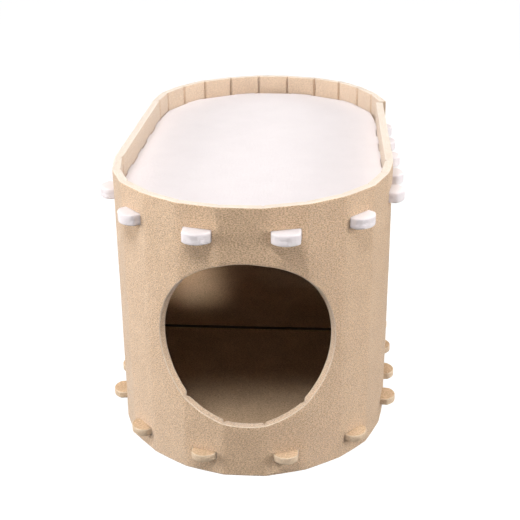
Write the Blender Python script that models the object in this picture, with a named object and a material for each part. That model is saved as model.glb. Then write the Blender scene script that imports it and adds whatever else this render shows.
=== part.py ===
"""A felt cat house that stands on the floor, with its doorway towards -Y.

A long strip of thick felt is grooved on its inner face and folded into a wall with a
racetrack plan. A thick deck below its rim and a thinner floor in two halves lock into it
by tabs that pass through slots. Metres, +Z up, origin on the ground under the plan's middle.
"""

import math

import bmesh
import bpy
from mathutils import Matrix, Vector

# Wall: a strip that stands on its long edge
WALL_HEIGHT = 0.339
WALL_THICK = 0.010
FACET = 0.050
SIDE_RUN = 0.295
END_FACET = 0.045
END_GAP = 0.0015

# Folds round each end, in degrees, from the middle facet outwards
FRONT_BENDS = (18.5, 16.5, 14.5, 19.0, 13.0, 8.5)
BACK_BENDS = (17.5, 15.5, 19.5, 12.5, 19.0, 6.0)
SPRUNG_BEND = 10.5
FOLD_WIDTH = 0.006
GROOVE_WIDTH = 0.008
GROOVE_DEPTH = 0.005

# Doorway: an oval in the flat strip
DOOR_WIDTH = 0.223
DOOR_HEIGHT = 0.206
DOOR_SHIFT = 0.003
DOOR_MIDDLE_Z = 0.170
DOOR_POINTS = 56

# Plates that the wall holds
DECK_TOP = 0.3115
DECK_THICK = 0.013
FLOOR_TOP = 0.0293
FLOOR_THICK = 0.009
PLATE_GAP = 0.0005
SEAM_FROM_FOLD = 0.158
SEAM_GAP = 0.005

# Tabs: D shapes that stand out of the wall, and the slots that they pass through
DECK_TAB_WIDTH = 0.034
FLOOR_TAB_WIDTH = 0.031
TAB_ROUND = 0.009
TAB_ARC_STEPS = 10
SLOT_GAP = 0.0004
SIDE_TAB_FIRST = 0.043
SIDE_TAB_PITCH = 0.073

# Facet from the end's middle, turn from square in degrees, reach of the deck's and floor's tab
FRONT_TABS = ((1, 18.5, 0.0185, 0.0135), (3, 0.0, 0.0165, 0.0155), (5, 0.0, 0.0175, 0.0175))
BACK_TABS = ((3, 0.0, 0.0165, 0.0155), (1, -17.5, 0.0185, 0.0135))

# Step along the side run, reach of the deck's and of the floor's tab, all square to the wall
SIDE_TABS = ((0, 0.0165, 0.0155), (1, 0.0165, 0.0145), (2, 0.0145, 0.0135), (3, 0.0135, 0.0130))

# Points closer together than this are one point
WELD = 0.00001

# Felt colours and roughness
WALL_BEIGE = (0.53, 0.37, 0.25)
DECK_WHITE = (0.90, 0.86, 0.87)
FLOOR_TAN = (0.60, 0.43, 0.28)
FELT_ROUGHNESS = 0.95

# Flat positions along the strip, measured from the middle of the front
FRONT_END = FACET * (len(FRONT_BENDS) - 0.5)
BACK_START = FRONT_END + SIDE_RUN
BACK_MIDDLE = BACK_START + FACET * (len(BACK_BENDS) - 0.5)
RIGHT_END = BACK_START - END_GAP
LEFT_LAST_FOLD = 2 * BACK_MIDDLE - BACK_START - FACET
LEFT_END = LEFT_LAST_FOLD + END_FACET
SEAM = FRONT_END + SEAM_FROM_FOLD


def half_plan_folds():
    """(flat position, bend in degrees) of each fold, from the front's middle to the back's."""
    front = [(FACET * (step + 0.5), bend) for step, bend in enumerate(FRONT_BENDS)]
    back = [(BACK_START + FACET * step, bend) for step, bend in enumerate(reversed(BACK_BENDS))]
    return front + back


def strip_folds():
    """The left half's folds, and those that carry the strip on to its end at the back right."""
    folds = half_plan_folds()
    for step, bend in enumerate(BACK_BENDS[:-2]):
        folds.append((BACK_MIDDLE + FACET * (step + 0.5), bend))
    folds.append((LEFT_LAST_FOLD, SPRUNG_BEND))
    return folds


def advance(point, heading, curvature, length):
    """The point and heading after a length of straight or of arc."""
    turned = heading + curvature * length
    if curvature == 0.0:
        return point + Vector((math.cos(heading), math.sin(heading))) * length, turned
    across = math.sin(turned) - math.sin(heading)
    along = math.cos(heading) - math.cos(turned)
    return point + Vector((across, along)) / curvature, turned


def trace(folds):
    """The strip's outer face from above, in pieces of (flat start, point, heading, curvature)."""
    pieces = []
    flat = 0.0
    point = Vector((0.0, 0.0))
    heading = 0.0
    for fold, bend in folds:
        straight = fold - FOLD_WIDTH / 2 - flat
        pieces.append((flat, point, heading, 0.0))
        point, heading = advance(point, heading, 0.0, straight)
        curvature = math.radians(bend) / FOLD_WIDTH
        pieces.append((flat + straight, point, heading, curvature))
        point, heading = advance(point, heading, curvature, FOLD_WIDTH)
        flat = fold + FOLD_WIDTH / 2
    pieces.append((flat, point, heading, 0.0))
    return pieces


STRIP_TRACE = trace(strip_folds())


def on_trace(flat, depth):
    """The plan point at a flat position, this deep behind the outer face."""
    start, point, heading, curvature = [piece for piece in STRIP_TRACE if piece[0] <= flat][-1]
    point, heading = advance(point, heading, curvature, flat - start)
    return point + Vector((-math.sin(heading), math.cos(heading))) * depth


PLAN_MIDDLE_Y = on_trace(BACK_MIDDLE, 0.0).y / 2


def plan_point(flat, depth):
    """The same about the origin, with flat positions left of the front's middle counted negative."""
    point = on_trace(abs(flat), depth)
    return Vector((math.copysign(1.0, flat) * point.x, point.y - PLAN_MIDDLE_Y))


def tab_rows():
    """(flat position, turn, deck reach, floor reach) of one half's tabs, from front to back."""
    front = [(FACET * facet, *rest) for facet, *rest in FRONT_TABS]
    side_start = FRONT_END + SIDE_TAB_FIRST
    side = [(side_start + SIDE_TAB_PITCH * step, 0.0, *reaches) for step, *reaches in SIDE_TABS]
    back = [(BACK_MIDDLE - FACET * facet, *rest) for facet, *rest in BACK_TABS]
    return front + side + back


DECK_TABS = [(place, turn, deck, DECK_TAB_WIDTH) for place, turn, deck, _ in tab_rows()]
FLOOR_TABS = [(place, turn, floor, FLOOR_TAB_WIDTH) for place, turn, _, floor in tab_rows()]


def slot_positions():
    """Flat positions of the strip's slots, one for each tab of both halves."""
    places = [row[0] for row in tab_rows()]
    left = [-place for place in places]
    right = [place for place in places if place < RIGHT_END]
    beyond = [place - 2 * BACK_MIDDLE for place in places if place > RIGHT_END]
    return left + right + beyond


def tab_outline(middle, turn, reach, width, root_depth):
    """Plan points round one tab: square through the wall, then turned, and closed by an arc."""
    sides = (middle - width / 2, middle + width / 2)
    first, last = [plan_point(side, 0.0) for side in sides]
    along = (last - first).normalized()
    along.rotate(Matrix.Rotation(-math.radians(turn), 2))
    outward = Vector((along.y, -along.x))
    half = width / 2 * math.cos(math.radians(turn))
    radius = (half**2 + TAB_ROUND**2) / (2 * TAB_ROUND)
    spread = math.asin(half / radius)
    points = [plan_point(sides[0], root_depth), first]
    for step in range(TAB_ARC_STEPS + 1):
        angle = spread * (2 * step / TAB_ARC_STEPS - 1)
        drop = radius * (1 - math.cos(angle))
        points.append((first + last) / 2 + along * radius * math.sin(angle) + outward * (reach - drop))
    return points + [last, plan_point(sides[1], root_depth)]


def plate_outline(flat_from, flat_to, tabs):
    """The plan of a plate that fills the wall between two flat positions on each side."""
    root = WALL_THICK + PLATE_GAP
    marks = [(fold, [plan_point(fold, root)]) for fold, _ in half_plan_folds()]
    marks += [(tab[0], tab_outline(*tab, root)) for tab in tabs]
    cuts = [cut for cut in (flat_from, flat_to) if 0.0 < cut < BACK_MIDDLE]
    marks += [(cut, [plan_point(cut, root)]) for cut in cuts]
    half = []
    for flat, points in sorted(marks, key=lambda mark: mark[0]):
        if flat_from <= flat <= flat_to:
            half += points
    return half + [Vector((-point.x, point.y)) for point in reversed(half)]


def oval(middle_x, middle_y, width, height, count):
    """Points round an upright oval."""
    turns = [2 * math.pi * step / count for step in range(count)]
    return [
        Vector((middle_x + width / 2 * math.cos(turn), middle_y + height / 2 * math.sin(turn)))
        for turn in turns
    ]


def rectangle(low_x, high_x, low_y, high_y):
    """The corners of a rectangle."""
    return [Vector((x, y)) for x, y in ((low_x, low_y), (high_x, low_y), (high_x, high_y), (low_x, high_y))]


def blank(name, outlines, thickness, collection):
    """A flat piece of felt: the first outline filled, the others cut out of it, as a mesh object."""
    curve = bpy.data.curves.new(name, "CURVE")
    curve.dimensions = "2D"
    curve.fill_mode = "BOTH"
    curve.extrude = thickness / 2
    for outline in outlines:
        spline = curve.splines.new("POLY")
        spline.points.add(len(outline) - 1)
        spline.use_cyclic_u = True
        for spot, point in zip(spline.points, outline):
            spot.co = (point.x, point.y, 0.0, 1.0)
    cut_out = bpy.data.objects.new(name + "_outline", curve)
    collection.objects.link(cut_out)
    graph = bpy.context.evaluated_depsgraph_get()
    mesh = bpy.data.meshes.new_from_object(cut_out.evaluated_get(graph))
    mesh.name = name
    bpy.data.objects.remove(cut_out)
    bpy.data.curves.remove(curve)
    shape = bmesh.new()
    shape.from_mesh(mesh)
    bmesh.ops.remove_doubles(shape, verts=shape.verts, dist=WELD)
    bmesh.ops.recalc_face_normals(shape, faces=shape.faces)
    shape.to_mesh(mesh)
    shape.free()
    piece = bpy.data.objects.new(name, mesh)
    collection.objects.link(piece)
    return piece


def felt(name, colour):
    """A plain felt of one colour."""
    material = bpy.data.materials.new(name)
    material.use_nodes = True
    shader = material.node_tree.nodes["Principled BSDF"]
    shader.inputs["Base Color"].default_value = (*colour, 1.0)
    shader.inputs["Roughness"].default_value = FELT_ROUGHNESS
    shader.inputs["Metallic"].default_value = 0.0
    material.diffuse_color = (*colour, 1.0)
    return material


def fold_lines():
    """Flat positions of every fold of the strip, on both sides of the front's middle."""
    left = [-fold for fold, _ in strip_folds()]
    right = [fold for fold, _ in strip_folds() if fold < FRONT_END + WELD]
    return left + right


def fold_strip(piece):
    """Scores the flat strip at each fold, presses a groove into its inner face there and folds it."""
    shape = bmesh.new()
    shape.from_mesh(piece.data)
    folds = fold_lines()
    scores = (-GROOVE_WIDTH / 2, -FOLD_WIDTH / 2, 0.0, FOLD_WIDTH / 2, GROOVE_WIDTH / 2)
    for fold in folds:
        for score in scores:
            everything = list(shape.verts) + list(shape.edges) + list(shape.faces)
            bmesh.ops.bisect_plane(
                shape,
                geom=everything,
                dist=WELD,
                plane_co=(fold + score, 0.0, 0.0),
                plane_no=(1.0, 0.0, 0.0),
            )
    for vert in shape.verts:
        flat, height, outward = vert.co
        depth = WALL_THICK / 2 - outward
        off_fold = min(abs(flat - fold) for fold in folds)
        if outward < 0.0:
            depth -= GROOVE_DEPTH * max(0.0, 1.0 - 2 * off_fold / GROOVE_WIDTH)
        plan = plan_point(flat, depth)
        vert.co = (plan.x, plan.y, height)
    shape.to_mesh(piece.data)
    shape.free()


def make_wall(collection):
    """The strip with its doorway and slots, folded round into the wall."""
    outlines = [
        rectangle(-LEFT_END, RIGHT_END, 0.0, WALL_HEIGHT),
        oval(DOOR_SHIFT, DOOR_MIDDLE_Z, DOOR_WIDTH, DOOR_HEIGHT, DOOR_POINTS),
    ]
    for top, thickness, tab_width in (
        (DECK_TOP, DECK_THICK, DECK_TAB_WIDTH),
        (FLOOR_TOP, FLOOR_THICK, FLOOR_TAB_WIDTH),
    ):
        half = tab_width / 2 + SLOT_GAP
        low = top - thickness - SLOT_GAP
        for middle in slot_positions():
            outlines.append(rectangle(middle - half, middle + half, low, top + SLOT_GAP))
    wall = blank("wall", outlines, WALL_THICK, collection)
    fold_strip(wall)
    wall.data.materials.append(felt("wall_felt", WALL_BEIGE))


def make_plate(name, flat_from, flat_to, tabs, top, thickness, material, collection):
    """A tabbed felt plate, lying flat with its upper face at this height."""
    plate = blank(name, [plate_outline(flat_from, flat_to, tabs)], thickness, collection)
    plate.location.z = top - thickness / 2
    plate.data.materials.append(material)


for old in list(bpy.data.objects):
    bpy.data.objects.remove(old)
house = bpy.data.collections.new("felt_cat_house")
bpy.context.scene.collection.children.link(house)
make_wall(house)
white_felt = felt("deck_felt", DECK_WHITE)
beige_felt = felt("floor_felt", FLOOR_TAN)
make_plate("deck", 0.0, BACK_MIDDLE, DECK_TABS, DECK_TOP, DECK_THICK, white_felt, house)
for half_name, half_from, half_to in (
    ("floor_front", 0.0, SEAM - SEAM_GAP / 2),
    ("floor_back", SEAM + SEAM_GAP / 2, BACK_MIDDLE),
):
    make_plate(half_name, half_from, half_to, FLOOR_TABS, FLOOR_TOP, FLOOR_THICK, beige_felt, house)
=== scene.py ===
"""A felt cat house: a folded felt wall, a white felt deck below its rim and a felt floor in two halves.

Metres, +Z up, doorway towards -Y, origin on the ground under the plan's middle.
"""

import bisect
import math

import bmesh
import bpy
from mathutils import Matrix, Vector, noise


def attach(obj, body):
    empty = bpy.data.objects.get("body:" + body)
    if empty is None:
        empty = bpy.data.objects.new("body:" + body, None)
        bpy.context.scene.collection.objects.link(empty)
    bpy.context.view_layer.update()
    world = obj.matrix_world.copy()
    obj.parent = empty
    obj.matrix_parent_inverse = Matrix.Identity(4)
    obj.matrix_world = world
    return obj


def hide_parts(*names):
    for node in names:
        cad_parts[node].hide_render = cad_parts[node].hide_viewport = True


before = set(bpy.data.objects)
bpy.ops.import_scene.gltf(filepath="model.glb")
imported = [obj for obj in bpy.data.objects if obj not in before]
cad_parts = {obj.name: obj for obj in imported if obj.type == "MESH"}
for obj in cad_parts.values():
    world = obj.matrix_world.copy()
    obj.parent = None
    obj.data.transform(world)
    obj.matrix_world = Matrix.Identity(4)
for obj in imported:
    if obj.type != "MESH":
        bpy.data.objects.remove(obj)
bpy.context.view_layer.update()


# The wall. It is one long strip of thick beige needle felt, cut flat with its doorway and its
# slots, scored with a groove across its inner face at each fold, and folded round into a
# racetrack. Nothing is sewn or glued: the tabs of the deck and the floor hold it closed.

WALL_HEIGHT = 0.339
WALL_THICK = 0.010
FACET = 0.050
SIDE_RUN = 0.295
END_FACET = 0.045
END_GAP = 0.0015
FRONT_BENDS = (18.5, 16.5, 14.5, 19.0, 13.0, 8.5)
BACK_BENDS = (17.5, 15.5, 19.5, 12.5, 19.0, 6.0)
SPRUNG_BEND = 10.5
FOLD_WIDTH = 0.006
GROOVE_WIDTH = 0.008
GROOVE_DEPTH = 0.005

FRONT_END = FACET * (len(FRONT_BENDS) - 0.5)
BACK_START = FRONT_END + SIDE_RUN
BACK_MIDDLE = BACK_START + FACET * (len(BACK_BENDS) - 0.5)
RIGHT_END = BACK_START - END_GAP
LEFT_LAST_FOLD = 2 * BACK_MIDDLE - BACK_START - FACET
LEFT_END = LEFT_LAST_FOLD + END_FACET
STRIP_LENGTH = RIGHT_END + LEFT_END


def half_plan_folds():
    """(flat position, bend in degrees) of each fold, from the front's middle to the back's."""
    front = [(FACET * (step + 0.5), bend) for step, bend in enumerate(FRONT_BENDS)]
    back = [(BACK_START + FACET * step, bend) for step, bend in enumerate(reversed(BACK_BENDS))]
    return front + back


def strip_folds():
    """The left half's folds, and those that carry the strip on to its end at the back right."""
    folds = half_plan_folds()
    for step, bend in enumerate(BACK_BENDS[:-2]):
        folds.append((BACK_MIDDLE + FACET * (step + 0.5), bend))
    folds.append((LEFT_LAST_FOLD, SPRUNG_BEND))
    return folds


def advance(point, heading, curvature, length):
    """The point and heading after a length of straight or of arc."""
    turned = heading + curvature * length
    if curvature == 0.0:
        return point + Vector((math.cos(heading), math.sin(heading))) * length, turned
    across = math.sin(turned) - math.sin(heading)
    along = math.cos(heading) - math.cos(turned)
    return point + Vector((across, along)) / curvature, turned


def trace(folds):
    """The strip's outer face from above, in pieces of (flat start, point, heading, curvature)."""
    pieces = []
    flat = 0.0
    point = Vector((0.0, 0.0))
    heading = 0.0
    for fold, bend in folds:
        straight = fold - FOLD_WIDTH / 2 - flat
        pieces.append((flat, point, heading, 0.0))
        point, heading = advance(point, heading, 0.0, straight)
        curvature = math.radians(bend) / FOLD_WIDTH
        pieces.append((flat + straight, point, heading, curvature))
        point, heading = advance(point, heading, curvature, FOLD_WIDTH)
        flat = fold + FOLD_WIDTH / 2
    pieces.append((flat, point, heading, 0.0))
    return pieces


STRIP_TRACE = trace(strip_folds())


def on_trace(flat, depth):
    """The plan point at a flat position, this deep behind the outer face."""
    start, point, heading, curvature = [piece for piece in STRIP_TRACE if piece[0] <= flat][-1]
    point, heading = advance(point, heading, curvature, flat - start)
    return point + Vector((-math.sin(heading), math.cos(heading))) * depth


PLAN_MIDDLE_Y = on_trace(BACK_MIDDLE, 0.0).y / 2


def plan_point(flat, depth):
    """The same about the origin, with flat positions left of the front's middle counted negative."""
    point = on_trace(abs(flat), depth)
    return Vector((math.copysign(1.0, flat) * point.x, point.y - PLAN_MIDDLE_Y))


FOLD_LINES = sorted(
    [-fold for fold, _ in strip_folds()]
    + [fold for fold, _ in strip_folds() if fold < FRONT_END + END_GAP]
)

# Slots: one for each tab of the deck above and of the floor below
DECK_TAB_WIDTH = 0.034
FLOOR_TAB_WIDTH = 0.031
SLOT_GAP = 0.0004
SIDE_TAB_FIRST = 0.043
SIDE_TAB_PITCH = 0.073

# Facet from the end's middle, turn from square in degrees, reach of the deck's and floor's tab
FRONT_TABS = ((1, 18.5, 0.0185, 0.0135), (3, 0.0, 0.0165, 0.0155), (5, 0.0, 0.0175, 0.0175))
BACK_TABS = ((3, 0.0, 0.0165, 0.0155), (1, -17.5, 0.0185, 0.0135))

# Step along the side run, reach of the deck's and of the floor's tab, all square to the wall
SIDE_TABS = ((0, 0.0165, 0.0155), (1, 0.0165, 0.0145), (2, 0.0145, 0.0135), (3, 0.0135, 0.0130))
DECK_TOP = 0.3115
DECK_THICK = 0.013
FLOOR_TOP = 0.0293
FLOOR_THICK = 0.009


def tab_rows():
    """(flat position, turn, deck reach, floor reach) of one half's tabs, from front to back."""
    front = [(FACET * facet, *rest) for facet, *rest in FRONT_TABS]
    side_start = FRONT_END + SIDE_TAB_FIRST
    side = [(side_start + SIDE_TAB_PITCH * step, 0.0, *reaches) for step, *reaches in SIDE_TABS]
    back = [(BACK_MIDDLE - FACET * facet, *rest) for facet, *rest in BACK_TABS]
    return front + side + back


def slot_positions():
    """Flat positions of the strip's slots, one for each tab of both halves."""
    places = [row[0] for row in tab_rows()]
    left = [-place for place in places]
    right = [place for place in places if place < RIGHT_END]
    beyond = [place - 2 * BACK_MIDDLE for place in places if place > RIGHT_END]
    return left + right + beyond


def pick(piece):
    """Leaves this piece alone selected, and active."""
    bpy.ops.object.select_all(action="DESELECT")
    piece.select_set(True)
    bpy.context.view_layer.objects.active = piece


def place_in_mesh(piece):
    """Moves the object's place, turn and size into its mesh."""
    pick(piece)
    bpy.ops.object.transform_apply(location=True, rotation=True, scale=True)


def cut_with(piece, cutter):
    """Cuts the cutter's shape out of the piece, and throws the cutter away."""
    pick(piece)
    cut = piece.modifiers.new("cut", "BOOLEAN")
    cut.operation = "DIFFERENCE"
    cut.solver = "EXACT"
    cut.object = cutter
    bpy.ops.object.modifier_apply(modifier=cut.name)
    bpy.data.objects.remove(cutter)


SHARP_TURN = 60.0


def soften(piece, width, segments, least_turn=SHARP_TURN):
    """Rounds the edges that turn by more than this many degrees."""
    pick(piece)
    bpy.ops.object.mode_set(mode="EDIT")
    bpy.ops.mesh.select_mode(type="EDGE")
    bpy.ops.mesh.select_all(action="DESELECT")
    bpy.ops.mesh.edges_select_sharp(sharpness=math.radians(least_turn))
    bpy.ops.mesh.bevel(offset=width, segments=segments, profile=0.5, affect="EDGES")
    bpy.ops.object.mode_set(mode="OBJECT")


def cut_across(piece, axis, places):
    """Scores the piece all through by planes square to an axis, so that it can bend there."""
    pick(piece)
    bpy.ops.object.mode_set(mode="EDIT")
    for place in places:
        bpy.ops.mesh.select_all(action="SELECT")
        bpy.ops.mesh.bisect(plane_co=axis * place, plane_no=axis)
    bpy.ops.object.mode_set(mode="OBJECT")


def between(start, end, longest):
    """Even places inside a length, none further apart than this."""
    count = math.ceil((end - start) / longest)
    return [start + (end - start) * step / count for step in range(1, count)]


ALONG_X = Vector((1.0, 0.0, 0.0))
ALONG_Y = Vector((0.0, 1.0, 0.0))
ALONG_Z = Vector((0.0, 0.0, 1.0))

# The strip lies flat as x along it, y into its thickness and z up
bpy.ops.object.select_all(action="DESELECT")
bpy.ops.mesh.primitive_cube_add(
    size=1.0,
    location=((RIGHT_END - LEFT_END) / 2, WALL_THICK / 2, WALL_HEIGHT / 2),
    scale=(STRIP_LENGTH, WALL_THICK, WALL_HEIGHT),
)
wall = bpy.context.object
wall.name = "wall_strip"
place_in_mesh(wall)

DOOR_WIDTH = 0.223
DOOR_HEIGHT = 0.206
DOOR_SHIFT = 0.003
DOOR_MIDDLE_Z = 0.170
DOOR_SIDES = 128
CUTTER_REACH = 0.04
bpy.ops.mesh.primitive_cylinder_add(
    vertices=DOOR_SIDES,
    radius=0.5,
    depth=CUTTER_REACH,
    location=(DOOR_SHIFT, WALL_THICK / 2, DOOR_MIDDLE_Z),
    rotation=(math.pi / 2, 0.0, 0.0),
    scale=(DOOR_WIDTH, DOOR_HEIGHT, 1.0),
)
doorway_cutter = bpy.context.object
place_in_mesh(doorway_cutter)
cut_with(wall, doorway_cutter)
CUT_EDGE_ROUND = 0.0012
CUT_EDGE_STEPS = 3
soften(wall, CUT_EDGE_ROUND, CUT_EDGE_STEPS)


def slot_cutters(top, thickness, tab_width):
    """One block for each slot of a plate: the first is made, and the others are its copies."""
    places = slot_positions()
    middle_z = top - thickness / 2
    bpy.ops.mesh.primitive_cube_add(
        size=1.0,
        location=(places[0], WALL_THICK / 2, middle_z),
        scale=(tab_width + 2 * SLOT_GAP, CUTTER_REACH, thickness + 2 * SLOT_GAP),
    )
    blocks = [bpy.context.object]
    for place in places[1:]:
        pick(blocks[0])
        bpy.ops.object.duplicate(linked=False)
        block = bpy.context.object
        block.location.x = place
        blocks.append(block)
    for block in blocks:
        block.select_set(True)
    bpy.context.view_layer.objects.active = blocks[0]
    bpy.ops.object.join()
    return bpy.context.object


for slot_row in (
    (DECK_TOP, DECK_THICK, DECK_TAB_WIDTH),
    (FLOOR_TOP, FLOOR_THICK, FLOOR_TAB_WIDTH),
):
    slots = slot_cutters(*slot_row)
    place_in_mesh(slots)
    cut_with(wall, slots)
SLOT_ROUND = 0.0006
SLOT_STEPS = 2
soften(wall, SLOT_ROUND, SLOT_STEPS)

# Scores close together at each fold, and wider between them
FOLD_SCORES = (-0.0055, -0.004, -0.003, -0.002, -0.001, 0.0, 0.001, 0.002, 0.003, 0.004, 0.0055)
WIDEST_SCORE = 0.009
EDGE_SCORES = (0.0025, 0.006)
columns = []
last = -LEFT_END
for line in FOLD_LINES:
    columns += between(last, line + FOLD_SCORES[0], WIDEST_SCORE)
    columns += [line + score for score in FOLD_SCORES]
    last = line + FOLD_SCORES[-1]
columns += between(last, RIGHT_END, WIDEST_SCORE)
rows = list(EDGE_SCORES) + [WALL_HEIGHT - score for score in EDGE_SCORES]
rows += between(EDGE_SCORES[-1], WALL_HEIGHT - EDGE_SCORES[-1], WIDEST_SCORE)
cut_across(wall, ALONG_X, columns)
cut_across(wall, ALONG_Z, rows)


def keep_flat_place(piece, thickness, depth_of, paleness_of, back_painted_light=0.0):
    """Writes on each point its place in the flat felt, whether a cut made it and how pale a cut.

    The painted shade and dullness are left at nought, and the back counts as cut by the share given,
    which paints it paler as painted light.
    """
    piece.data.attributes.new("flat_place", "FLOAT_VECTOR", "POINT")
    for name in ("cut_face", "pale_cut", "painted_shade_and_dullness"):
        piece.data.attributes.new(name, "FLOAT", "POINT")
    places = piece.data.attributes["flat_place"].data
    cuts = piece.data.attributes["cut_face"].data
    pales = piece.data.attributes["pale_cut"].data
    for vert, place, cut, pale in zip(piece.data.vertices, places, cuts, pales):
        depth = depth_of(vert.co)
        place.vector = vert.co
        inside = min(depth, thickness - depth) / CUT_EDGE_ROUND
        least = back_painted_light if depth > thickness / 2 else 0.0
        cut.value = min(max(inside, least), 1.0)
        pale.value = paleness_of(vert.co)


# The rim's cut face is the palest, a painted highlight where light falls on its top, and those of the
# doorway and the slots hardly differ
RIM_HIGHLIGHT_FROM = WALL_HEIGHT - 0.002
DOORWAY_PALE = 0.14
# The strip's back is painted paler by this share: painted light, for the washed-out look of its lit
# inner face
BACK_PAINTED_LIGHT = 0.13
keep_flat_place(
    wall,
    WALL_THICK,
    lambda point: point.y,
    lambda point: 1.0 if point.z > RIM_HIGHLIGHT_FROM else DOORWAY_PALE,
    BACK_PAINTED_LIGHT,
)

# How far hand and heat leave the felt from true. The rim's wave dies out quickly below it
FACET_CROWN = 0.0004
WALL_WAVE = 0.0006
WAVE_TURNS = 11.0
WAVE_SEED = 3.1
LUMP = 0.00016
LUMP_TURNS = 85.0
LUMP_SEED = 7.7
RIM_WAVE = 0.0005
RIM_TURNS = 22.0
RIM_SEED = 12.3
RIM_WAVE_DROP = 4

# The strip's end at the back right is painted darker than its other cuts: painted shade, for its end
# face that lies in shadow
END_PAINTED_SHADE = 1.2
END_PAINTED_SHADE_TO = 0.0004

# The strip's back is drawn duller than its face. Its grooves are painted darker still: painted shade in
# the grooves' shadowed hollows
BACK_DULL = 0.4
GROOVE_PAINTED_SHADE = 0.75

# Folding closes each groove again at the rim, to this share of its depth
RIM_CLOSES = 0.012
RIM_GROOVE = 0.45


def unevenness(spot, turns, seed):
    """A smooth wander between about -1 and 1."""
    return noise.noise(Vector((spot.x, spot.y, spot.z)) * turns + Vector((seed, seed, seed)))


def fold_wall(piece):
    """Folds the flat strip along its trace, pressed in at the grooves and a little uneven."""
    marks = [-LEFT_END] + FOLD_LINES + [RIGHT_END]
    painted_shade_and_dullness_values = piece.data.attributes["painted_shade_and_dullness"].data
    for vert, painted_shade_and_dullness in zip(piece.data.vertices, painted_shade_and_dullness_values):
        flat, depth, height = vert.co
        off_fold = min(abs(flat - line) for line in FOLD_LINES)
        below_rim = min(1.0, (WALL_HEIGHT - height) / RIM_CLOSES)
        pressed = max(0.0, 1.0 - 2 * off_fold / GROOVE_WIDTH)
        pressed *= RIM_GROOVE + (1.0 - RIM_GROOVE) * below_rim
        # Painted shade in the grooves and a duller back, both fading towards the outer face
        dull = BACK_DULL if depth > WALL_THICK - CUT_EDGE_ROUND / 2 else 0.0
        painted_shade_and_dullness.value = max(GROOVE_PAINTED_SHADE * pressed, dull) * min(1.0, depth / WALL_THICK)
        # Painted shade on the strip's end face
        if flat < END_PAINTED_SHADE_TO - LEFT_END:
            painted_shade_and_dullness.value = END_PAINTED_SHADE
        depth *= 1.0 - pressed * GROOVE_DEPTH / WALL_THICK
        panel = min(max(bisect.bisect_right(marks, flat), 1), len(marks) - 1)
        left, right = marks[panel - 1 : panel + 1]
        share = min(max((flat - left) / (right - left), 0.0), 1.0)
        crown = FACET_CROWN * math.sin(math.pi * share) * min(1.0, FACET * 2 / (right - left))
        spot = Vector((flat, 0.0, height))
        depth -= crown
        depth += WALL_WAVE * unevenness(spot, WAVE_TURNS, WAVE_SEED)
        depth += LUMP * unevenness(vert.co, LUMP_TURNS, LUMP_SEED)
        lift = RIM_WAVE * unevenness(Vector((flat, depth, 0.0)), RIM_TURNS, RIM_SEED)
        plan = plan_point(flat, depth)
        vert.co = (plan.x, plan.y, height + lift * (height / WALL_HEIGHT) ** RIM_WAVE_DROP)


fold_wall(wall)
SMOOTH_UNDER = math.radians(42.0)
pick(wall)
bpy.ops.object.shade_smooth_by_angle(angle=SMOOTH_UNDER)


class Shade:
    """A node's output that can be written in sums: each sum adds its node."""

    def __init__(self, finish, socket):
        self.finish = finish
        self.socket = socket

    def maths(self, operation, *values, clamp=False):
        settings = {"operation": operation, "use_clamp": clamp}
        return self.finish.node("ShaderNodeMath", settings, dict(enumerate(values)))

    def __add__(self, other):
        return self.maths("ADD", self, other)

    def __sub__(self, other):
        return self.maths("SUBTRACT", self, other)

    def __rsub__(self, other):
        return self.maths("SUBTRACT", other, self)

    def __mul__(self, other):
        return self.maths("MULTIPLY", self, other)

    def __abs__(self):
        return self.maths("ABSOLUTE", self)

    __radd__ = __add__
    __rmul__ = __mul__

    def clip(self):
        """Held between 0 and 1."""
        return self.maths("ADD", self, 0.0, clamp=True)


class Finish:
    """A material that is written as sums of its nodes."""

    def __init__(self, name):
        self.material = bpy.data.materials.new(name)
        self.material.use_nodes = True
        self.tree = self.material.node_tree
        self.shader = self.tree.nodes["Principled BSDF"]

    def put(self, socket, value):
        """Links a shade to a socket, or sets the socket's own number or colour."""
        if isinstance(value, Shade):
            self.tree.links.new(value.socket, socket)
        elif isinstance(value, tuple) and len(value) == 3 and socket.type == "RGBA":
            socket.default_value = (*value, 1.0)
        else:
            socket.default_value = value

    def node(self, kind, settings, values, output=0):
        """One more node, with its settings made first and then its sockets' values."""
        made = self.tree.nodes.new(kind)
        for name, value in settings.items():
            setattr(made, name, value)
        for socket, value in values.items():
            self.put(made.inputs[socket], value)
        return Shade(self, made.outputs[output])

    def attribute(self, name, output):
        return self.node("ShaderNodeAttribute", {"attribute_name": name}, {}, output)

    def stretched(self, vector, stretch, turn=0.0):
        values = {"Vector": vector, "Scale": stretch, "Rotation": (0.0, 0.0, turn)}
        return self.node("ShaderNodeMapping", {}, values)

    def wander(self, vector, scale, detail=2.0, roughness=0.5, distortion=0.0):
        values = {
            "Vector": vector,
            "Scale": scale,
            "Detail": detail,
            "Roughness": roughness,
            "Distortion": distortion,
        }
        return self.node("ShaderNodeTexNoise", {}, values, "Fac")

    def blend(self, share, first, second):
        """From the first colour to the second."""
        settings = {"data_type": "RGBA", "blend_type": "MIX"}
        return self.node("ShaderNodeMix", settings, {0: share, 6: first, 7: second}, 2)

    def shade(self, name, value):
        self.put(self.shader.inputs[name], value)


# Felt colours: its darkest and lightest flecks, the paler heart that a cut shows (on the rim also its
# painted highlight), and the colour of painted shade, which also dulls the strip's back
BEIGE = {
    "dark": (0.50, 0.320, 0.187),
    "light": (0.87, 0.625, 0.415),
    "cut": (0.87, 0.755, 0.635),
    "painted_shade_and_dullness": (0.55, 0.40, 0.28),
}

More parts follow.
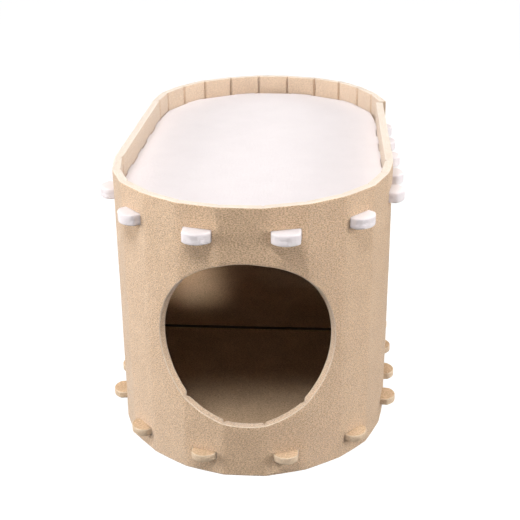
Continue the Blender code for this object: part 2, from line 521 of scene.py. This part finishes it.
# Flecks lie along the strip, and each cut shows the layers that the felt was needled from
FLECK_TURNS = 880.0
FLECK_STRETCH = (0.55, 1.0, 1.0)
CLOUD_TURNS = 30.0
LAYER_TURNS = 900.0
LAYER_STRETCH = (0.12, 1.0, 0.12)

# Fibres cross in three sets: stretch, turn, how much finer the set is, how far it strays
FIBRE_SETS = (
    ((0.5, 1.3, 1.6), 0.35, 1.0, 1.1),
    ((1.5, 1.2, 0.6), -0.5, 1.0, 1.4),
    ((1.0, 1.0, 1.0), 0.9, 1.7, 0.9),
)
FIBRE_TURNS = 210.0
FIBRE_FINE = 26.0
FIBRE_MEAN = 0.2

# How far each of them sways the tone, and how high each stands
CLOUD_DEPTH = 0.5
FIBRE_DEPTH = 0.16
CUT_PALENESS = 0.8
LAYER_DEPTH = 0.9
FRAY_AND_PAINTED_LIGHT = 3.0
PAINTED_SHADE_AND_DULLNESS_DEPTH = 0.7
FLECK_RISE = 0.6
FIBRE_RISE = 0.5
LAYER_RISE = 0.3
SURFACE_RELIEF = 0.9
RELIEF_HEIGHT = 0.001

# Felt scatters light from its fibre ends, which shows as sheen at a low angle
FELT_ROUGHNESS = 0.9
ROUGHNESS_SPREAD = 0.15
FELT_SPECULAR = 0.12
SHEEN_ROUGHNESS = 0.42
SHEEN_TINT = (1.0, 0.97, 0.94)


def felt_finish(name, colours, fleck_depth, sheen):
    """Needle felt: flecks, crossing fibres, soft clouds, pale cut faces, painted highlights and painted
    shade.
    """
    felt = Finish(name)
    place = felt.attribute("flat_place", "Vector")
    cut = felt.attribute("cut_face", "Fac")
    pale = felt.attribute("pale_cut", "Fac")
    painted_shade_and_dullness = felt.attribute("painted_shade_and_dullness", "Fac")
    fleck = felt.wander(felt.stretched(place, FLECK_STRETCH), FLECK_TURNS, 3.0, 0.7, 0.4)
    cloud = felt.wander(place, CLOUD_TURNS)
    layers = felt.wander(felt.stretched(place, LAYER_STRETCH), LAYER_TURNS)
    fibres = 0.0
    for stretch, turn, finer, stray in FIBRE_SETS:
        strands = felt.wander(felt.stretched(place, stretch, turn), FIBRE_TURNS * finer, 1.0, 0.5, stray)
        fibres = fibres + (1 - abs(strands - 0.5) * FIBRE_FINE).clip() * 0.5
    tone = 0.5 + (fleck - 0.5) * fleck_depth + (cloud - 0.5) * CLOUD_DEPTH
    tone = tone + (fibres - FIBRE_MEAN) * FIBRE_DEPTH
    colour = felt.blend(tone.clip(), colours["dark"], colours["light"])
    # A pale band along each rounded cut edge: frayed fibre with a painted highlight over it; on the
    # strip's back the same sum paints it paler, as painted light
    fray_and_painted_light = cut * (1 - cut) * FRAY_AND_PAINTED_LIGHT
    paleness = cut * pale * (CUT_PALENESS + (layers - 0.5) * LAYER_DEPTH) + fray_and_painted_light
    colour = felt.blend(paleness.clip(), colour, colours["cut"])
    colour = felt.blend((painted_shade_and_dullness * PAINTED_SHADE_AND_DULLNESS_DEPTH).clip(), colour, colours["painted_shade_and_dullness"])
    felt.shade("Base Color", colour)
    felt.shade("Roughness", (FELT_ROUGHNESS + (fleck - 0.5) * ROUGHNESS_SPREAD).clip())
    felt.shade("Specular IOR Level", FELT_SPECULAR)
    felt.shade("Sheen Weight", sheen)
    felt.shade("Sheen Roughness", SHEEN_ROUGHNESS)
    felt.shade("Sheen Tint", SHEEN_TINT)
    height = fleck * FLECK_RISE + fibres * FIBRE_RISE + layers * cut * LAYER_RISE
    bump = {"Strength": SURFACE_RELIEF, "Distance": RELIEF_HEIGHT, "Height": height}
    felt.shade("Normal", felt.node("ShaderNodeBump", {}, bump))
    return felt.material


BEIGE_FLECKS = 6.2
BEIGE_SHEEN = 0.65
wall.data.materials.clear()
wall.data.materials.append(felt_finish("wall_beige_felt", BEIGE, BEIGE_FLECKS, BEIGE_SHEEN))
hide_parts("wall")
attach(wall, "root")
door_area = math.pi * DOOR_WIDTH * DOOR_HEIGHT / 4
slot_area = len(slot_positions()) * (DECK_TAB_WIDTH * DECK_THICK + FLOOR_TAB_WIDTH * FLOOR_THICK)
wall_area = STRIP_LENGTH * WALL_HEIGHT - door_area - slot_area


# The deck. It is one plate of thicker white felt with D tabs cut in one with it, and it lies
# level below the rim, its tabs pushed out through the wall's upper row of slots.

PLATE_GAP = 0.0005
TAB_ROUND = 0.009
TAB_ARC_STEPS = 16
PLATE_SCORE = 0.011
PLATE_WAVE = 0.0003
PLATE_TURNS = 14.0
PLATE_SEED = 5.5

# A plate's cut edges turn by more than this, and the corners of its outline by less
PLATE_SHARP_TURN = 80.0
PLATE_EDGE_STEPS = 3


def tab_outline(middle, turn, reach, width, root_depth):
    """Plan points round one tab: square through the wall, then turned, and closed by an arc."""
    sides = (middle - width / 2, middle + width / 2)
    first, last = [plan_point(side, 0.0) for side in sides]
    along = (last - first).normalized()
    along.rotate(Matrix.Rotation(-math.radians(turn), 2))
    outward = Vector((along.y, -along.x))
    half = width / 2 * math.cos(math.radians(turn))
    radius = (half**2 + TAB_ROUND**2) / (2 * TAB_ROUND)
    spread = math.asin(half / radius)
    points = [plan_point(sides[0], root_depth), first]
    for step in range(TAB_ARC_STEPS + 1):
        angle = spread * (2 * step / TAB_ARC_STEPS - 1)
        drop = radius * (1 - math.cos(angle))
        points.append((first + last) / 2 + along * radius * math.sin(angle) + outward * (reach - drop))
    return points + [last, plan_point(sides[1], root_depth)]


def plate_outline(flat_from, flat_to, tabs):
    """The plan of a plate that fills the wall between two flat positions on each side."""
    root = WALL_THICK + PLATE_GAP
    marks = [(fold, [plan_point(fold, root)]) for fold, _ in half_plan_folds()]
    marks += [(tab[0], tab_outline(*tab, root)) for tab in tabs]
    cuts = [cut for cut in (flat_from, flat_to) if 0.0 < cut < BACK_MIDDLE]
    marks += [(cut, [plan_point(cut, root)]) for cut in cuts]
    half = []
    for flat, points in sorted(marks, key=lambda mark: mark[0]):
        if flat_from <= flat <= flat_to:
            half += points
    return half + [Vector((-point.x, point.y)) for point in reversed(half)]


def outline_area(outline):
    """The flat area inside a closed outline."""
    pairs = zip(outline, outline[1:] + outline[:1])
    return abs(sum(first.cross(second) for first, second in pairs)) / 2


def make_plate(name, flat_from, flat_to, tabs, top, thickness, edge_round, pale, layered):
    """A tabbed felt plate: a ring of points drawn out to its outline, filled, raised and rounded."""
    outline = plate_outline(flat_from, flat_to, tabs)
    low = top - thickness
    bpy.ops.object.select_all(action="DESELECT")
    bpy.ops.mesh.primitive_circle_add(
        vertices=len(outline),
        radius=FACET,
        fill_type="NGON",
        location=(0.0, 0.0, low),
    )
    plate = bpy.context.object
    plate.name = name
    place_in_mesh(plate)
    for vert, point in zip(plate.data.vertices, outline):
        vert.co = (point.x, point.y, low)
    pick(plate)
    bpy.ops.object.mode_set(mode="EDIT")
    bpy.ops.mesh.select_all(action="SELECT")
    bpy.ops.mesh.extrude_region_move(TRANSFORM_OT_translate={"value": (0.0, 0.0, thickness)})
    bpy.ops.mesh.select_all(action="SELECT")
    bpy.ops.mesh.normals_make_consistent(inside=False)
    bpy.ops.object.mode_set(mode="OBJECT")
    soften(plate, edge_round, PLATE_EDGE_STEPS, PLATE_SHARP_TURN)
    if layered:
        middle = low + thickness / 2
        cut_across(plate, ALONG_Z, [middle - SEAM_HALF, middle, middle + SEAM_HALF])
        press_seam(plate, middle)
    low_corner = Vector((min(point.x for point in outline), min(point.y for point in outline)))
    high_corner = Vector((max(point.x for point in outline), max(point.y for point in outline)))
    cut_across(plate, ALONG_X, between(low_corner.x, high_corner.x, PLATE_SCORE))
    cut_across(plate, ALONG_Y, between(low_corner.y, high_corner.y, PLATE_SCORE))
    keep_flat_place(plate, thickness, lambda point: point.z - low, lambda point: pale)
    for vert in plate.data.vertices:
        vert.co.z += PLATE_WAVE * unevenness(Vector((*vert.co.xy, top)), PLATE_TURNS, PLATE_SEED)
    pick(plate)
    bpy.ops.object.shade_smooth_by_angle(angle=SMOOTH_UNDER)
    return plate, outline


# The deck's felt is two layers pressed into one, and their join shows faintly round its edge
SEAM_HALF = 0.0009
SEAM_DEPTH = 0.00025


def press_seam(plate, middle):
    """Presses a faint line into the plate's edge at this height."""
    pick(plate)
    bpy.ops.object.mode_set(mode="EDIT")
    bpy.ops.mesh.select_mode(type="VERT")
    bpy.ops.mesh.select_all(action="DESELECT")
    shape = bmesh.from_edit_mesh(plate.data)
    for vert in shape.verts:
        if abs(vert.co.z - middle) < SEAM_HALF / 2:
            vert.select = True
    shape.select_flush_mode()
    bmesh.update_edit_mesh(plate.data)
    bpy.ops.transform.shrink_fatten(value=-SEAM_DEPTH)
    bpy.ops.object.mode_set(mode="OBJECT")


WHITE = {
    "dark": (0.83, 0.765, 0.775),
    "light": (0.94, 0.87, 0.88),
    "cut": (0.94, 0.86, 0.87),
    "painted_shade_and_dullness": (0.60, 0.55, 0.55),
}
WHITE_FLECKS = 1.2
WHITE_SHEEN = 0.5
DECK_ROUND = 0.0016
DECK_TABS = [(place, turn, reach, DECK_TAB_WIDTH) for place, turn, reach, _ in tab_rows()]
deck, deck_outline = make_plate(
    "deck_plate", 0.0, BACK_MIDDLE, DECK_TABS, DECK_TOP, DECK_THICK, DECK_ROUND, 1.0, layered=True
)
deck.data.materials.append(felt_finish("deck_white_felt", WHITE, WHITE_FLECKS, WHITE_SHEEN))


def stand_for(plate, outline, node):
    """The plate stands for its node, whose part is hidden, and hangs from the root; its cut area is
    worked out.
    """
    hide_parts(node)
    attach(plate, "root")
    area = outline_area(outline)


stand_for(deck, deck_outline, "deck")


# The floor. It is thinner tan felt in two halves that meet on a seam behind the doorway, each
# held above the ground by its own D tabs in the wall's lower row of slots.

SEAM_FROM_FOLD = 0.158
SEAM_GAP = 0.005
SEAM = FRONT_END + SEAM_FROM_FOLD
SEAM_Y = plan_point(SEAM, 0.0).y
FLOOR_ROUND = 0.0012

# Each half is painted dark where its edge turns down into the seam, up to a score just beyond: painted
# shade for the shadowed gap
SEAM_PAINTED_SHADE = 1.4
SEAM_PAINTED_SHADE_TO = SEAM_GAP / 2 + FLOOR_ROUND
SEAM_SCORE = SEAM_PAINTED_SHADE_TO + 0.0006
FLOOR_TABS = [(place, turn, reach, FLOOR_TAB_WIDTH) for place, turn, _, reach in tab_rows()]
TAN = {
    "dark": (0.50, 0.332, 0.198),
    "light": (0.86, 0.635, 0.425),
    "cut": (0.80, 0.65, 0.49),
    "painted_shade_and_dullness": (0.12, 0.08, 0.05),
}
TAN_FLECKS = 3.8
TAN_SHEEN = 0.04
FLOOR_PALE = 0.5
tan_felt = felt_finish("floor_tan_felt", TAN, TAN_FLECKS, TAN_SHEEN)
for half_name, node_name, half_from, half_to in (
    ("floor_front_half", "floor_front", 0.0, SEAM - SEAM_GAP / 2),
    ("floor_back_half", "floor_back", SEAM + SEAM_GAP / 2, BACK_MIDDLE),
):
    half_plate, half_outline = make_plate(
        half_name,
        half_from,
        half_to,
        FLOOR_TABS,
        FLOOR_TOP,
        FLOOR_THICK,
        FLOOR_ROUND,
        FLOOR_PALE,
        layered=False,
    )
    cut_across(half_plate, ALONG_Y, [SEAM_Y - SEAM_SCORE, SEAM_Y + SEAM_SCORE])
    # Painted shade along the seam
    for point, painted_shade_and_dullness in zip(half_plate.data.vertices, half_plate.data.attributes["painted_shade_and_dullness"].data):
        if abs(point.co.y - SEAM_Y) < SEAM_PAINTED_SHADE_TO:
            painted_shade_and_dullness.value = SEAM_PAINTED_SHADE
    half_plate.data.materials.append(tan_felt)
    stand_for(half_plate, half_outline, node_name)


# The studio: a wide table that shows pure white, soft lights on both sides and high in front,
# one over the deck, weak ones low in front and through the doorway, and a camera that stands
# in front, a little to the right, and looks down on the deck.

TABLE_SIZE = 60.0
TABLE_GREY = (0.1, 0.1, 0.1)
TABLE_ROUGHNESS = 0.9
TABLE_GLOW = 0.99
bpy.ops.object.select_all(action="DESELECT")
bpy.ops.mesh.primitive_plane_add(size=TABLE_SIZE, location=(0.0, 0.0, 0.0))
table = bpy.context.object
table.name = "white_table"
table_finish = Finish("white_table")
table_finish.shade("Base Color", TABLE_GREY)
table_finish.shade("Roughness", TABLE_ROUGHNESS)
table_finish.shade("Emission Color", (1.0, 1.0, 1.0))
table_finish.shade("Emission Strength", TABLE_GLOW)
table.data.materials.append(table_finish.material)

# The table's glow would light the house from all round, so only the camera sees it
table.visible_diffuse = False

# Name, place, width, height, watts
LIGHTS = (
    ("left_light", (-1.9, -0.35, 0.6), 0.7, 0.7, 29.0),
    ("low_left_light", (-1.6, -0.9, 0.35), 0.5, 0.5, 7.5),
    ("back_left_light", (-1.7, 0.8, 1.0), 0.8, 0.8, 5.0),
    ("right_light", (1.9, -0.35, 0.6), 0.7, 0.7, 30.0),
    ("low_right_light", (1.6, -0.9, 0.35), 0.5, 0.5, 5.5),
    ("back_right_light", (1.7, 0.8, 1.0), 0.8, 0.8, 8.0),
    ("high_front_light", (-0.3, -1.1, 1.85), 1.1, 0.7, 28.5),
    ("low_front_light", (0.1, -2.0, 0.3), 0.6, 0.4, 0.6),
    ("light_over_deck", (0.15, 0.22, 1.4), 0.8, 0.8, 6.5),
)
AIM = Vector((0.0, 0.0, 0.17))
for light_name, spot, width, height, watts in LIGHTS:
    bpy.ops.object.light_add(type="AREA", location=spot)
    lamp = bpy.context.object
    lamp.name = light_name
    lamp.rotation_euler = (AIM - Vector(spot)).to_track_quat("-Z", "Y").to_euler()
    lamp.data.shape = "RECTANGLE"
    lamp.data.size = width
    lamp.data.size_y = height
    lamp.data.energy = watts

# A small light stands on the table in front, in place of what the table would throw back
BOUNCE_PLACE = (0.0, -0.75, 0.02)
BOUNCE_WIDTH = 0.4
BOUNCE_HEIGHT = 0.03
BOUNCE_WATTS = 0.42
bpy.ops.object.light_add(type="AREA", location=BOUNCE_PLACE, rotation=(math.pi / 2, 0.0, 0.0))
bounce = bpy.context.object
bounce.name = "table_bounce_light"
bounce.data.shape = "RECTANGLE"
bounce.data.size = BOUNCE_WIDTH
bounce.data.size_y = BOUNCE_HEIGHT
bounce.data.energy = BOUNCE_WATTS

# A narrow lamp in front shines through the doorway onto the floor's far left, in a flat oval
BEAM_PLACE = Vector((0.323, -1.27, 0.44))
BEAM_AIM = Vector((-0.132, 0.20, 0.03))
BEAM_COLOUR = (1.0, 0.94, 0.86)
BEAM_SPREAD = 4.4
BEAM_FLATNESS = 0.25
BEAM_SOFTNESS = 0.03
BEAM_WATTS = 430.0
bpy.ops.object.light_add(type="SPOT", location=BEAM_PLACE)
beam = bpy.context.object
beam.name = "doorway_light"
beam.rotation_euler = (BEAM_AIM - BEAM_PLACE).to_track_quat("-Z", "Y").to_euler()
beam.data.color = BEAM_COLOUR
beam.data.spot_size = math.radians(BEAM_SPREAD)
beam.scale.y = BEAM_FLATNESS
beam.data.spot_blend = 1.0
beam.data.shadow_soft_size = BEAM_SOFTNESS
beam.data.energy = BEAM_WATTS

# The room beyond the table is white to the camera, and lights the house only faintly
ROOM_LIGHT = 0.02
surroundings = bpy.data.worlds.new("pale_room")
surroundings.use_nodes = True
room = surroundings.node_tree.nodes["Background"]
room.inputs["Color"].default_value = (1.0, 1.0, 1.0, 1.0)
rays = surroundings.node_tree.nodes.new("ShaderNodeLightPath")
glow = surroundings.node_tree.nodes.new("ShaderNodeMapRange")
glow.inputs["To Min"].default_value = ROOM_LIGHT
surroundings.node_tree.links.new(rays.outputs["Is Camera Ray"], glow.inputs["Value"])
surroundings.node_tree.links.new(glow.outputs["Result"], room.inputs["Strength"])
bpy.context.scene.world = surroundings
bpy.context.scene.view_settings.view_transform = "Standard"

# The camera's turns are in radians, and its sensor and lens in millimetres
CAMERA_PLACE = Vector((0.09077, -1.33958, 0.70360))
CAMERA_YAW = -0.06924
CAMERA_DOWN = 0.39540
CAMERA_ROLL = -0.00825
SENSOR = 36.0
LENS = 70.18
level = math.cos(CAMERA_DOWN)
forward = Vector((math.sin(CAMERA_YAW) * level, math.cos(CAMERA_YAW) * level, -math.sin(CAMERA_DOWN)))
right = Vector((math.cos(CAMERA_YAW), -math.sin(CAMERA_YAW), 0.0))
upward = right.cross(forward)
across = right * math.cos(CAMERA_ROLL) + upward * math.sin(CAMERA_ROLL)
above = upward * math.cos(CAMERA_ROLL) - right * math.sin(CAMERA_ROLL)
bpy.ops.object.camera_add(location=CAMERA_PLACE)
camera = bpy.context.object
camera.name = "studio_camera"
camera.rotation_euler = Matrix((across, above, -forward)).transposed().to_euler()
camera.data.sensor_width = SENSOR
camera.data.lens = LENS
bpy.context.scene.camera = camera
